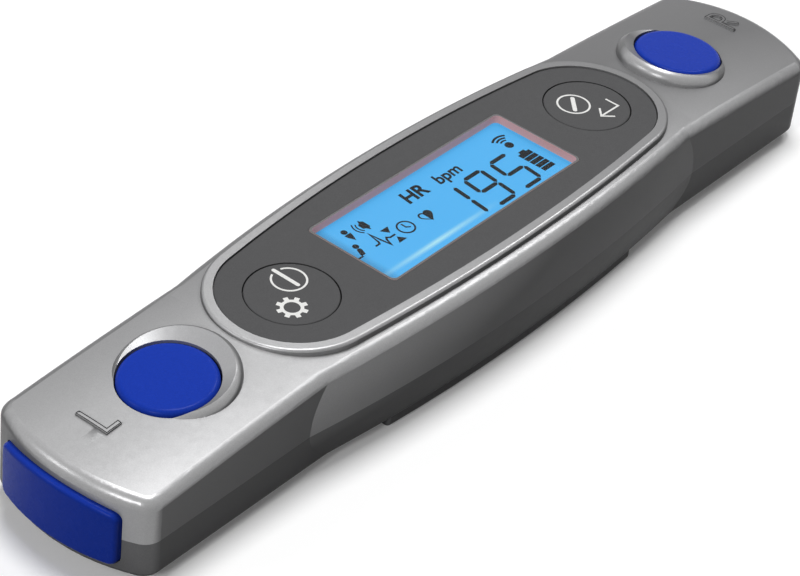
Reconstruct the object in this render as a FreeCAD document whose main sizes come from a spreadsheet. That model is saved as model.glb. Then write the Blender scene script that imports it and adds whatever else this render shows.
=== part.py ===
import FreeCAD, Part
import math
import os
import re
import Sketcher

# Handheld ECG monitor: a bar-shaped case held between both hands, with a thumb electrode
# on the top near each end and an electrode on each end face.
# X runs along the case towards the right hand, Y away from the reader, Z up.
# The origin is under the middle of the case, on the surface that it lies on.

document = FreeCAD.newDocument("ecg_home_monitor")
sheet = document.addObject("Spreadsheet::Sheet", "Dims")

sizes = {
    # case
    "caseHalfLength": 93.4,
    "caseHalfWidth": 16.5,
    "endRadius": 33.5,
    "cornerRadius": 3.4,
    "archRadius": 1000.0,
    "archTop": 22.1,
    "crownRadius": 100.0,
    "floorLevel": 1.9,
    "partingLevel": 8.8,
    "edgeRound": 2.0,
    "footRound": 0.8,
    "wall": 1.6,
    "endWall": 3.0,
    # swollen middle of the grip
    "swellHalfLength": 53.0,
    "swellDepth": 3.5,
    "swellShoulder": 100.0,
    "swellFoot": 30.0,
    # belly under the battery
    "bellyHalfLength": 34.0,
    "bellyHalfWidth": 19.1,
    "bellyRound": 0.8,
    # oval rim and faceplate
    "ovalInset": 54.0,
    "ovalEndRadius": 13.0,
    "ovalHalfWidth": 15.2,
    "rimWidth": 2.1,
    "plateRadius": 2000.0,
    "rimRise": -0.1,
    "rimRound": 0.5,
    "plateSink": 0.3,
    "plateThickness": 1.2,
    "plateGap": 0.2,
    "seatGap": 0.1,
    # display
    "windowInset": 14.8,
    "windowHalfWidth": 9.2,
    "windowRound": 1.0,
    "bezelWall": 0.35,
    "lensTop": 20.0,
    "lensThickness": 0.5,
    "glassLap": 2.1,
    "glassHalfWidth": 11.3,
    "glassThickness": 1.9,
    "backlightHalfWidth": 9.4,
    "backlightThickness": 1.8,
    "connectorWidth": 1.2,
    "layerGap": 0.05,
    "holderGap": 0.3,
    "holderWall": 1.4,
    # main board
    "boardTop": 15.6,
    "boardThickness": 1.2,
    "boardHalfLength": 56.0,
    "boardHalfWidth": 14.4,
    # buttons and their switches
    "buttonShift": 0.6,
    "buttonRadius": 7.9,
    "buttonGap": 0.2,
    "buttonRound": 0.25,
    "flangeReach": 0.7,
    "flangeThickness": 0.7,
    "flangeTop": 19.6,
    "flangeGap": 0.4,
    "stemRadius": 2.0,
    "switchWidth": 6.2,
    "switchHeight": 1.7,
    "plungerRadius": 1.6,
    "plungerTop": 17.9,
    "plungerLength": 1.6,
    "plungerGap": 0.15,
    "switchFloor": 0.1,
    # thumb electrodes in their mounds
    "thumbInset": 24.6,
    "thumbTilt": 5.0,
    "thumbLevel": 20.1,
    "moundShift": 1.7,
    "moundTilt": 11.0,
    "moundLevel": 21.1,
    "moundRadius": 10.4,
    "moundHeight": 3.2,
    "moundRound": 1.9,
    "seatFloorRadius": 5.8,
    "seatSlope": 2.5,
    "seatTop": 1.0,
    "boreTop": 2.6,
    "collarDepth": 4.6,
    "seatDepth": 1.6,
    "thumbRadius": 8.2,
    "thumbGap": 0.25,
    "thumbProud": 0.4,
    "thumbRound": 1.0,
    "lipDepth": 3.1,
    "thumbFlange": 1.0,
    "thumbFlangeThickness": 0.7,
    "pocketDepth": 5.9,
    "contactRadius": 2.5,
    "contactLevel": 15.4,
    # spring pins on the electrode boards
    "pinRadius": 0.8,
    "pinLength": 3.0,
    "barrelRadius": 1.6,
    "barrelBore": 1.15,
    "barrelHeight": 2.8,
    # electrode boards
    "sensorTop": 11.4,
    "sensorThickness": 1.0,
    "sensorHalfLength": 10.6,
    "sensorHalfWidth": 10.6,
    "postReach": 8.4,
    "postRadius": 1.9,
    # end electrodes
    "endPadHalfWidth": 12.2,
    "endPadLow": 3.6,
    "endPadHigh": 13.7,
    "endPadRise": 1.2,
    "endPadProud": 1.1,
    "endPadSunk": 1.1,
    "endPadCorner": 1.6,
    "endPadRound": 0.8,
    "endPadGap": 0.1,
    "studRadius": 1.5,
    "studLength": 3.4,
    "studLevel": 11.0,
    "studGap": 0.1,
    "leafThickness": 0.4,
    "leafWidth": 5.0,
    "leafLap": 2.0,
    # ribbons between the boards
    "ribbonWidth": 4.0,
    "ribbonThickness": 0.3,
    "ribbonLap": 1.8,
    "ribbonSide": 4.2,
    "ribbonGap": 0.4,
    # hand marks
    "markHeight": 6.8,
    "markStroke": 0.9,
    "markRise": 0.35,
    "leftMarkWidth": 3.3,
    "rightMarkWidth": 3.4,
    "leftMarkInset": 9.5,
    "rightMarkInset": 8.2,
    "markBase": -1.7,
    "bowlRadius": 1.85,
    "legSpread": 2.6,
    "legTrim": 0.3,
    # battery bay and door
    "cellRadius": 5.25,
    "cellLength": 43.5,
    "nubRadius": 1.9,
    "nubLength": 1.0,
    "cellSpacing": 11.4,
    "cellGap": 0.3,
    "bayHalfWidth": 11.6,
    "bayHalfLength": 26.0,
    "bayWall": 1.2,
    "bayRoof": 0.7,
    "contactPlate": 0.4,
    "contactWidth": 7.9,
    "contactInset": 1.0,
    "springRadius": 2.4,
    "springWire": 0.6,
    "springTurns": 3.0,
    "doorHalfWidth": 12.4,
    "doorBack": 24.6,
    "doorLift": 0.15,
    "doorThickness": 1.45,
    "tongueReach": 1.0,
    "tongueThickness": 0.75,
    "doorGap": 0.2,
    "gripWidth": 0.8,
    "gripLength": 14.9,
    "gripSpacing": 1.6,
    "gripInset": 3.2,
    "gripDepth": 0.4,
    "gripCount": 5,
    # screws
    "caseScrewInset": 10.1,
    "caseScrewSpread": 10.2,
    "bossRadius": 2.8,
    "screwShaft": 1.1,
    "screwHead": 2.1,
    "screwHeadHeight": 1.5,
    "screwSink": 1.6,
    "screwLength": 7.8,
    "screwGap": 0.1,
    "boardScrewInset": 4.0,
    "boardScrewSpread": 10.6,
    "smallBoss": 2.1,
    "smallShaft": 0.8,
    "smallHead": 1.6,
    "smallHeadHeight": 0.9,
    "smallScrewLength": 2.9,
    # what stands under the main board
    "chipGap": 1.0,
    "chipRow": 4.0,
    "processorWidth": 7.0,
    "processorHeight": 1.0,
    "memoryLength": 4.0,
    "memoryWidth": 5.0,
    "memoryHeight": 0.9,
    "amplifierLength": 5.0,
    "amplifierWidth": 4.0,
    "amplifierHeight": 0.9,
    "crystalLength": 5.0,
    "crystalWidth": 2.0,
    "crystalHeight": 1.2,
    "crystalRow": 3.0,
    "radioLength": 12.0,
    "radioWidth": 9.0,
    "radioHeight": 2.0,
    "radioRow": 6.0,
    "buzzerRadius": 4.5,
    "buzzerHeight": 3.2,
    "buzzerRow": 7.0,
    # reach of forms that are cut back to the case, and of cuts past what they cut
    "skyRise": 3.0,
    "rootDepth": 6.0,
    "overcut": 1.0,
}

# Places that follow the length of the case, the board or the battery bay
places = {
    "thumbPlace": "(caseHalfLength - thumbInset)",
    "moundPlace": "(caseHalfLength - thumbInset - moundShift)",
    "ovalCentre": "(caseHalfLength - ovalInset)",
    "buttonPlace": "(caseHalfLength - ovalInset + buttonShift)",
    "windowHalfLength": "(caseHalfLength - ovalInset + buttonShift - windowInset)",
    "glassHalfLength": "(caseHalfLength - ovalInset + buttonShift - windowInset + glassLap)",
    "leftMarkPlace": "(caseHalfLength - leftMarkInset)",
    "rightMarkPlace": "(caseHalfLength - rightMarkInset)",
    "caseScrewPlace": "(caseHalfLength - caseScrewInset)",
    "boardScrewPlace": "(boardHalfLength - boardScrewInset)",
    "bayEnd": "(bayHalfLength + bayWall)",
    "skyLevel": "(archTop + skyRise)",
    "rootLevel": "(archTop - rootDepth)",
    "boardUnder": "(boardTop - boardThickness)",
}
hair = 1e-4  # places closer than this count as one
shortest = 0.05  # upright edges shorter than this are left as they are
springSegment = 0.5  # turns of a spring to one edge of its path

for row, (alias, amount) in enumerate(sizes.items(), start=1):
    sheet.set("A%d" % row, alias)
    sheet.set("B%d" % row, str(amount))
    sheet.setAlias("B%d" % row, alias)
document.recompute()


def formula(text):
    """Write out the places named in a formula, and point every size at its cell in the sheet."""
    spelled = re.sub(r"[A-Za-z]+", lambda word: places.get(word[0], word[0]), str(text))
    return re.sub(r"[A-Za-z]+", lambda word: "Dims." + word[0] if word[0] in sizes else word[0], spelled)


def bind(thing, **cells):
    for cell, text in cells.items():
        thing.setExpression(cell, formula(text))
    return thing


def place(thing, x=0, y=0, z=0, axis=None, angle=0):
    """Bind where an object stands, and how far it is turned about an axis."""
    if axis:
        thing.Placement = FreeCAD.Placement(FreeCAD.Vector(), FreeCAD.Rotation(FreeCAD.Vector(*axis), 1))
        thing.setExpression("Placement.Rotation.Angle", formula(angle))
    for letter, text in zip("xyz", (x, y, z)):
        thing.setExpression("Placement.Base." + letter, formula(text))
    return thing


def block(name, length, width, low, high, x=0, y=0):
    """Box centred on x and y, from one level to another."""
    thing = document.addObject("Part::Box", name)
    bind(thing, Length=length, Width=width, Height="(%s) - (%s)" % (high, low))
    return place(thing, "%s - (%s) / 2" % (x, length), "%s - (%s) / 2" % (y, width), low)


def post(name, radius, low, high, x=0, y=0):
    """Upright cylinder from one level to another."""
    thing = document.addObject("Part::Cylinder", name)
    bind(thing, Radius=radius, Height="(%s) - (%s)" % (high, low))
    return place(thing, x, y, low)


def rod(name, radius, length, x, y, z, axis, angle=90):
    """Cylinder laid along another direction."""
    thing = document.addObject("Part::Cylinder", name)
    bind(thing, Radius=radius, Height=length)
    return place(thing, x, y, z, axis, angle)


def cut(name, base, *tools):
    tool = tools[0] if len(tools) == 1 else fuse(name + "_tools", *tools)
    thing = document.addObject("Part::Cut", name)
    thing.Base = base
    thing.Tool = tool
    thing.Refine = True
    return thing


def fuse(name, *shapes):
    thing = document.addObject("Part::MultiFuse", name)
    thing.Shapes = list(shapes)
    thing.Refine = True
    return thing


def common(name, *shapes):
    thing = document.addObject("Part::MultiCommon", name)
    thing.Shapes = list(shapes)
    thing.Refine = True
    return thing


def mirror(name, source, normal):
    thing = document.addObject("Part::Mirroring", name)
    thing.Source = source
    thing.Normal = FreeCAD.Vector(*normal)
    return thing


def rounded(name, base, radius, wanted):
    """Round the edges of an object that pass a test."""
    document.recompute()
    thing = document.addObject("Part::Fillet", name)
    thing.Base = base
    amount = sizes[radius]
    thing.Edges = [(number, amount, amount)
                   for number, edge in enumerate(base.Shape.Edges, start=1) if wanted(edge)]
    return thing


def group(name, *shapes):
    thing = document.addObject("Part::Compound", name)
    thing.Links = list(shapes)
    return thing


nodes = []


def node(label, thing):
    """Keep an object as one of the parts, under its own label."""
    thing.Label = label
    nodes.append(thing)
    return thing


def upright(edge):
    """True for a straight edge along Z."""
    ends = edge.BoundBox
    return ends.ZLength > shortest and ends.XLength < hair and ends.YLength < hair


def level(edge, height):
    """True for an edge that lies all at one level."""
    return abs(edge.BoundBox.ZMin - height) < hair and abs(edge.BoundBox.ZMax - height) < hair


# Outlines in plan


def tangentOutline(name, pieces):
    """Closed sketch of arcs and lines that run smoothly into each other."""
    sketch = document.addObject("Sketcher::SketchObject", name)
    sketch.addGeometry(pieces, False)
    for number in range(len(pieces)):
        following = (number + 1) % len(pieces)
        sketch.addConstraint(Sketcher.Constraint("Tangent", number, 2, following, 1))
    return sketch


def dimension(sketch, amount, text, kind, *places):
    number = sketch.addConstraint(Sketcher.Constraint(kind, *places, amount))
    sketch.setExpression("Constraints[%d]" % number, formula(text))


def arc(x, y, radius, start, finish):
    circle = Part.Circle(FreeCAD.Vector(x, y, 0), FreeCAD.Vector(0, 0, 1), radius)
    return Part.ArcOfCircle(circle, start, finish)


def caseOutline(name, inset, endInset):
    """Plan of the case: straight sides, bowed ends and round corners."""
    half, width = sizes["caseHalfLength"], sizes["caseHalfWidth"]
    bow, corner = sizes["endRadius"], sizes["cornerRadius"]
    centre = half - bow
    cornerY = width - corner
    turn = math.asin(cornerY / (bow - corner))
    cornerX = centre + (bow - corner) * math.cos(turn)
    quarter, full = math.pi / 2, math.pi
    sketch = tangentOutline(name, [
        arc(centre, 0, bow, -turn, turn),
        arc(cornerX, cornerY, corner, turn, quarter),
        Part.LineSegment(FreeCAD.Vector(cornerX, width, 0), FreeCAD.Vector(-cornerX, width, 0)),
        arc(-cornerX, cornerY, corner, quarter, full - turn),
        arc(-centre, 0, bow, full - turn, full + turn),
        arc(-cornerX, -cornerY, corner, full + turn, 3 * quarter),
        Part.LineSegment(FreeCAD.Vector(-cornerX, -width, 0), FreeCAD.Vector(cornerX, -width, 0)),
        arc(cornerX, -cornerY, corner, 3 * quarter, 4 * quarter - turn),
    ])
    sketch.addConstraint(Sketcher.Constraint("Horizontal", 2))
    sketch.addConstraint(Sketcher.Constraint("Horizontal", 6))
    sketch.addConstraint(Sketcher.Constraint("PointOnObject", 0, 3, -1))
    sketch.addConstraint(Sketcher.Constraint("Symmetric", 0, 3, 4, 3, -2))
    sketch.addConstraint(Sketcher.Constraint("Equal", 0, 4))
    for other in (3, 5, 7):
        sketch.addConstraint(Sketcher.Constraint("Equal", 1, other))
    dimension(sketch, centre, "caseHalfLength - endRadius", "DistanceX", -1, 1, 0, 3)
    dimension(sketch, bow, "endRadius - (%s)" % endInset, "Radius", 0)
    dimension(sketch, corner, "cornerRadius - (%s)" % inset, "Radius", 1)
    dimension(sketch, width, "caseHalfWidth - (%s)" % inset, "DistanceY", -1, 1, 2, 1)
    dimension(sketch, width, "caseHalfWidth - (%s)" % inset, "DistanceY", 6, 1, -1, 1)
    return sketch


ovalSide = ("(ovalCentre^2 + ovalHalfWidth^2 - ovalEndRadius^2)"
            " / (2 * (ovalHalfWidth - ovalEndRadius))")


def ovalOutline(name, grow):
    """Plan of the faceplate: a round end about each button, joined by shallow arcs."""
    centre = sizes["caseHalfLength"] - sizes["ovalInset"]
    small, width = sizes["ovalEndRadius"], sizes["ovalHalfWidth"]
    large = (centre ** 2 + width ** 2 - small ** 2) / (2 * (width - small))
    turn = math.atan2(large - width, centre)
    full = math.pi
    sketch = tangentOutline(name, [
        arc(centre, 0, small, -turn, turn),
        arc(0, width - large, large, turn, full - turn),
        arc(-centre, 0, small, full - turn, full + turn),
        arc(0, large - width, large, full + turn, 2 * full - turn),
    ])
    sketch.addConstraint(Sketcher.Constraint("PointOnObject", 0, 3, -1))
    sketch.addConstraint(Sketcher.Constraint("Symmetric", 0, 3, 2, 3, -2))
    sketch.addConstraint(Sketcher.Constraint("Equal", 0, 2))
    sketch.addConstraint(Sketcher.Constraint("Equal", 1, 3))
    dimension(sketch, centre, "ovalCentre", "DistanceX", -1, 1, 0, 3)
    dimension(sketch, small, "ovalEndRadius + (%s)" % grow, "Radius", 0)
    dimension(sketch, large, "%s + (%s)" % (ovalSide, grow), "Radius", 1)
    return sketch


def prism(name, sketch, low, high):
    thing = document.addObject("Part::Extrusion", name)
    thing.Base = sketch
    thing.DirMode = "Normal"
    thing.Solid = True
    bind(thing, LengthFwd="(%s) - (%s)" % (high, low))
    return place(thing, z=low)


def arched(name, rise, bend="archRadius"):
    """Everything under a long arch over the case, raised by some amount."""
    return rod(name, "%s + (%s)" % (bend, rise), "4 * caseHalfWidth", 0, "2 * caseHalfWidth",
               "archTop - " + bend, (1, 0, 0))


def crowned(name, rise):
    """Everything under the top of the case, which is arched along X and crowned across it."""
    thing = document.addObject("Part::Torus", name)
    bind(thing, Radius1="archRadius - crownRadius", Radius2="crownRadius + (%s)" % rise)
    return place(thing, 0, 0, "archTop - archRadius", (1, 0, 0), 90)


# Case envelopes: the outside, and the same form drawn in by the wall


def swell(name, inset):
    """Barrel-shaped bulge along the near side."""
    reach = "(swellHalfLength^2 + swellDepth^2) / (2 * swellDepth)"
    outer, inner = "(caseHalfWidth + swellDepth)", "(caseHalfWidth / 4)"
    halves = []
    for part, low, high, bend in (("shoulder", "partingLevel", "skyLevel", "swellShoulder"),
                                  ("foot", "floorLevel + (%s)" % inset, "partingLevel", "swellFoot")):
        ring = document.addObject("Part::Torus", name + "_" + part + "_ring")
        bind(ring, Radius1="%s - %s" % (reach, bend), Radius2="%s - (%s)" % (bend, inset))
        place(ring, 0, "%s - caseHalfWidth - swellDepth" % reach, "partingLevel")
        slab = block(name + "_" + part + "_slab", "2 * swellHalfLength", "%s - %s" % (outer, inner),
                     low, high, y="-(%s + %s) / 2" % (outer, inner))
        halves.append(common(name + "_" + part, ring, slab))
    return fuse(name, *halves)


def envelope(name, inset, endInset, drop, topRound=None):
    """Bar and both bulges under the arch, with their top edges rounded where a radius is named."""
    outline = caseOutline(name + "_outline", inset, endInset)
    bar = prism(name + "_bar", outline, "floorLevel + (%s)" % inset, "skyLevel")
    crown = crowned(name + "_crown", "-(%s)" % drop)
    core = common(name + "_core", bar, crown)
    near = common(name + "_near", swell(name + "_swell", inset), crown)
    if topRound:
        side = -sizes["caseHalfWidth"] / 2
        core = rounded(name + "_core_top", core, topRound,
                       lambda edge: edge.BoundBox.ZMin > sizes["partingLevel"] and not upright(edge))
        near = rounded(name + "_near_top", near, topRound,
                       lambda edge: edge.BoundBox.ZMin > sizes["partingLevel"] and edge.BoundBox.YMax < side
                       and edge.BoundBox.XLength > sizes["swellHalfLength"])
    far = mirror(name + "_far", near, (0, 1, 0))
    return fuse(name, core, near, far)


outerSharp = envelope("outside", "0", "0", "0", "edgeRound")
inside = envelope("inside", "wall", "endWall", "wall")
outer = rounded("outside_foot", outerSharp, "footRound", lambda edge: level(edge, sizes["floorLevel"]))

# Raised forms on the top: the oval rim, the two thumb mounds and the hand marks

hands = (("left", -1), ("right", 1))
plateTop = "rimRise - plateSink"
plateUnder = "rimRise - plateSink - plateThickness"


def tilted(name, side, radius, low, high, topRadius=None, about="thumb"):
    """Round form about the leaning axis of a thumb electrode or its mound, between levels along it."""
    thing = document.addObject("Part::Cone" if topRadius else "Part::Cylinder", name)
    if topRadius:
        bind(thing, Radius1=radius, Radius2=topRadius)
    else:
        bind(thing, Radius=radius)
    bind(thing, Height="(%s) - (%s)" % (high, low))
    return place(thing, "%d * (%sPlace + (%s) * sin(%sTilt))" % (side, about, low, about), 0,
                 "%sLevel + (%s) * cos(%sTilt)" % (about, low, about), (0, side, 0), about + "Tilt")


def topCircle(thing):
    """Test for the edge round the top of a round form."""
    middle = thing.Shape.BoundBox.Center.z
    return lambda edge: edge.BoundBox.Center.z > middle and len(edge.Vertexes) == 1


def stroke(name, x, y, length, width, turn=0):
    """One straight stroke of a hand mark, from its lower left corner."""
    thing = document.addObject("Part::Box", name)
    bind(thing, Length=length, Width=width, Height="(%s) - (%s)" % ("skyLevel", "rootLevel"))
    return place(thing, x, y, "rootLevel", (0, 0, 1), turn)


rimWall = prism("rim_wall", ovalOutline("rim_outline", "rimWidth"), "rootLevel", "skyLevel")
rimSharp = common("rim_sharp", rimWall, arched("rim_arch", "rimRise", "plateRadius"))
rimRoot = sizes["archTop"] - sizes["rootDepth"]
rim = rounded("rim", rimSharp, "rimRound",
              lambda edge: edge.BoundBox.ZMin > rimRoot + hair and not upright(edge))

mounds = []
for hand, side in hands:
    blank = tilted(hand + "_mound_blank", side, "moundRadius", "-moundHeight", "0", about="mound")
    document.recompute()
    mounds.append(rounded(hand + "_mound", blank, "moundRound", topCircle(blank)))

leftMark = [stroke("left_mark_stem", "-leftMarkPlace", "markBase", "markStroke", "markHeight"),
            stroke("left_mark_foot", "-leftMarkPlace", "markBase", "leftMarkWidth", "markStroke")]
bowlX = "(rightMarkPlace + rightMarkWidth - bowlRadius)"
bowlY = "(markBase + markHeight - bowlRadius)"
waistY = "(markBase + markHeight - 2 * bowlRadius)"
bowlRing = cut("right_mark_ring",
               post("right_mark_ring_outside", "bowlRadius", "rootLevel", "skyLevel", bowlX, bowlY),
               post("right_mark_ring_inside", "bowlRadius - markStroke", "rootLevel", "skyLevel",
                    bowlX, bowlY),
               block("right_mark_ring_back", "markHeight", "markHeight", "rootLevel", "skyLevel",
                     bowlX + " - markHeight / 2", bowlY))
legLength = "sqrt(%s^2 + legSpread^2) - legTrim" % "(markHeight - 2 * bowlRadius)"
rightMark = [bowlRing,
             stroke("right_mark_stem", "rightMarkPlace", "markBase", "markStroke", "markHeight"),
             stroke("right_mark_brow", "rightMarkPlace", "markBase + markHeight - markStroke",
                    "rightMarkWidth - bowlRadius", "markStroke"),
             stroke("right_mark_waist", "rightMarkPlace", waistY,
                    "rightMarkWidth - bowlRadius", "markStroke"),
             stroke("right_mark_leg", bowlX + " - markStroke", waistY + " + markStroke / 2",
                    legLength, "markStroke", "-atan((markHeight - 2 * bowlRadius) / legSpread)")]
marks = common("hand_marks", fuse("hand_mark_strokes", *leftMark, *rightMark),
               crowned("mark_crown", "markRise"))

# What is cut from the case


def oblong(name, halfLength, halfWidth, low, high, radius=None):
    """Box about the middle of the case, with round corners where a radius is named."""
    base = block(name, "2 * (%s)" % halfLength, "2 * (%s)" % halfWidth, low, high)
    return rounded(name + "_round", base, radius, upright) if radius else base


def corners(name, radius, low, high, x, y):
    """Four equal posts, one in each quarter."""
    return [post("%s_%d%d" % (name, along, across), radius, low, high,
                 "%d * (%s)" % (along, x), "%d * (%s)" % (across, y))
            for along in (-1, 1) for across in (-1, 1)]


def sensorPosts(name, radius, low, high):
    """Posts at the corners of both electrode boards."""
    return [post("%s_%s_%d%d" % (name, hand, along, across), radius, low, high,
                 "%d * thumbPlace + %d * postReach" % (side, along), "%d * postReach" % across)
            for hand, side in hands for along in (-1, 1) for across in (-1, 1)]


def alongX(edge):
    """True for a straight edge that runs along X."""
    return type(edge.Curve).__name__ == "Line" and abs(edge.Curve.Direction.x) > 0.9


def endPad(name, grow):
    """Curved plate let into the right-hand end face; grown by the gap it makes its recess."""
    centre = "caseHalfLength - endRadius"
    bow = "(endPadHalfWidth^2 + endPadRise^2) / (2 * endPadRise)"
    skin = cut(name + "_skin",
               post(name + "_outside", "endRadius + endPadProud", 0, "skyLevel", centre),
               post(name + "_inside", "endRadius - endPadSunk - (%s)" % grow, 0, "skyLevel", centre))
    window = block(name + "_window", "endRadius", "2 * (endPadHalfWidth + (%s))" % grow,
                   "endPadLow - (%s)" % grow, "skyLevel", "caseHalfLength")
    lid = rod(name + "_bow", bow, "2 * endRadius", centre, 0,
              "endPadHigh + endPadRise + (%s) - %s" % (grow, bow), (0, 1, 0))
    front = rounded(name + "_front", common(name + "_face", window, lid), "endPadCorner", alongX)
    return common(name + "_plate", skin, front)


recess = cut("plate_recess",
             prism("recess_wall", ovalOutline("recess_outline", "plateGap"), "rootLevel", "skyLevel"),
             arched("recess_arch", plateUnder + " - seatGap", "plateRadius"))
displayHole = oblong("display_hole", "glassHalfLength + holderGap + holderWall + holderGap",
                     "glassHalfWidth + holderGap + holderWall + holderGap", "boardTop", "skyLevel")
buttonHoles = [post(name + "_hole", "buttonRadius + flangeReach + flangeGap", "boardTop", "skyLevel",
                    "%d * buttonPlace" % side)
               for name, side in (("power", -1), ("enter", 1))]

thumbBore = "(thumbRadius + thumbGap)"
thumbCuts = []
for hand, side in hands:
    thumbCuts.append(tilted(hand + "_seat", side, "seatFloorRadius", "-seatDepth", "seatTop",
                            "seatFloorRadius + (seatDepth + seatTop) * seatSlope", "mound"))
    thumbCuts.append(tilted(hand + "_bore", side, thumbBore, "-pocketDepth", "boreTop"))
    thumbCuts.append(tilted(hand + "_pocket", side, thumbBore + " + thumbFlange", "-pocketDepth",
                            "-lipDepth"))

padRecess = endPad("pad_recess", "endPadGap")
padRecesses = [padRecess, mirror("left_pad_recess", padRecess, (1, 0, 0))]
studHoles = [rod(hand + "_stud_hole", "studRadius + studGap", "2 * endWall",
                 "%d * (caseHalfLength - 2 * endWall)" % side, 0, "studLevel", (0, side, 0))
             for hand, side in hands]

# Upper case

screwTop = "(floorLevel + screwSink + screwHeadHeight + screwLength)"
upperBosses = fuse("upper_bosses",
                   *corners("upper_boss", "bossRadius", "partingLevel", "skyLevel",
                            "caseScrewPlace", "caseScrewSpread"),
                   *corners("board_boss", "smallBoss", "boardTop", "skyLevel",
                            "boardScrewPlace", "boardScrewSpread"),
                   *[tilted(hand + "_collar", side, thumbBore + " + thumbFlange + wall", "-collarDepth", "0")
                     for hand, side in hands])
upperPilots = [*corners("upper_pilot", "screwShaft + screwGap", "0", screwTop + " + screwGap",
                        "caseScrewPlace", "caseScrewSpread"),
               *corners("board_pilot", "smallShaft + screwGap", "boardTop - overcut",
                        "boardTop - boardThickness + smallScrewLength + screwGap",
                        "boardScrewPlace", "boardScrewSpread")]
raisedCase = fuse("raised_case", outer, rim, *mounds, marks)
hollowCase = cut("hollow_case", raisedCase, inside)
upperFilled = fuse("upper_filled", hollowCase, common("upper_bosses_inside", upperBosses, inside))
upperHalf = common("upper_half", upperFilled,
                   block("upper_slab", "3 * caseHalfLength", "4 * caseHalfWidth", "partingLevel", "skyLevel"))
node("top_shell", cut("upper_case", upperHalf, recess, displayHole, *buttonHoles, *thumbCuts,
                      *padRecesses, *studHoles, *upperPilots))

# Lower case, with the belly, the battery bay and the door's channel

swellReach = "(swellHalfLength^2 + swellDepth^2) / (2 * swellDepth)"
bellyCentre = "(%s - bellyHalfWidth)" % swellReach
bellySharp = common("belly_sharp",
                    oblong("belly_block", "bellyHalfLength", "2 * caseHalfWidth", "0",
                           "floorLevel + wall / 2"),
                    post("belly_near", swellReach, "-overcut", "partingLevel", y=bellyCentre),
                    post("belly_far", swellReach, "-overcut", "partingLevel", y="-" + bellyCentre))
belly = rounded("belly", bellySharp, "bellyRound",
                lambda edge: level(edge, 0) or (upright(edge) and edge.BoundBox.ZMin < hair))
doorTop = "(doorLift + doorThickness)"
cellLevel = "(%s + cellGap + cellRadius)" % doorTop
bayTop = "(%s + cellRadius + doorGap)" % cellLevel
lowerBosses = fuse("lower_bosses",
                   *corners("lower_boss", "bossRadius", "floorLevel + wall / 2", "partingLevel",
                            "caseScrewPlace", "caseScrewSpread"),
                   *sensorPosts("sensor_post", "postRadius", "floorLevel + wall / 2",
                                "sensorTop - sensorThickness"),
                   oblong("bay_outside", "bayHalfLength + bayWall", "bayHalfWidth + bayWall",
                          "floorLevel + wall / 2", bayTop + " + bayRoof"))
lowerHalf = fuse("lower_half",
                 common("lower_wall", hollowCase,
                        block("lower_slab", "3 * caseHalfLength", "4 * caseHalfWidth", "0", "partingLevel")),
                 lowerBosses, belly)
channelEnd = "(bellyHalfLength + doorGap)"
channelMiddle = "((%s - doorBack - doorGap) / 2)" % channelEnd
channelLength = "(%s + doorBack + doorGap)" % channelEnd
lowerCuts = [
    oblong("bay_inside", "bayHalfLength", "bayHalfWidth", doorTop, bayTop),
    block("door_channel", channelLength, "2 * (doorHalfWidth + doorGap)", "-overcut", "floorLevel",
          channelMiddle),
    block("tongue_channel", channelLength, "2 * (doorHalfWidth + tongueReach + doorGap)",
          doorTop + " - tongueThickness - doorGap", "floorLevel", channelMiddle),
    *corners("screw_sink", "screwHead + screwGap", "-overcut", "floorLevel + screwSink + screwHeadHeight",
             "caseScrewPlace", "caseScrewSpread"),
    *corners("screw_way", "screwShaft + screwGap", "-overcut", "skyLevel", "caseScrewPlace",
             "caseScrewSpread"),
    *sensorPosts("sensor_pilot", "smallShaft + screwGap",
                 "sensorTop - smallScrewLength - screwGap", "sensorTop"),
]
node("bottom_shell", cut("lower_case", lowerHalf, *lowerCuts, *padRecesses))

# Battery door: a plate with a tongue along each side, and grip grooves at its outer end

doorMiddle = "((bellyHalfLength - doorBack) / 2)"
doorLength = "(bellyHalfLength + doorBack)"
doorPlate = fuse("door_plate",
                 block("door_middle", doorLength, "2 * doorHalfWidth", "doorLift", doorTop, doorMiddle),
                 block("door_tongues", doorLength, "2 * (doorHalfWidth + tongueReach)",
                       doorTop + " - tongueThickness", doorTop, doorMiddle))
grips = [block("door_grip_%d" % number, "gripWidth", "gripLength", "-overcut", "doorLift + gripDepth",
               "bellyHalfLength - gripInset - %d * gripSpacing" % number)
         for number in range(sizes["gripCount"])]
node("battery_door", cut("door", common("door_in_belly", doorPlate, belly), *grips))

# Cells, lying side by side and turned end for end, with their contacts


def cell(name, side):
    """One cell: its case and the nub at its positive end."""
    y = "%d * cellSpacing / 2" % side
    start = "-%d * (bayHalfLength - contactPlate - nubLength)" % side
    tip = "-%d * (bayHalfLength - contactPlate)" % side
    turn = (0, side, 0)
    shape = fuse(name, rod(name + "_can", "cellRadius", "cellLength", start, y, cellLevel, turn),
                 rod(name + "_nub", "nubRadius", "nubLength + cellRadius", tip, y, cellLevel, turn))
    return shape


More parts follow.
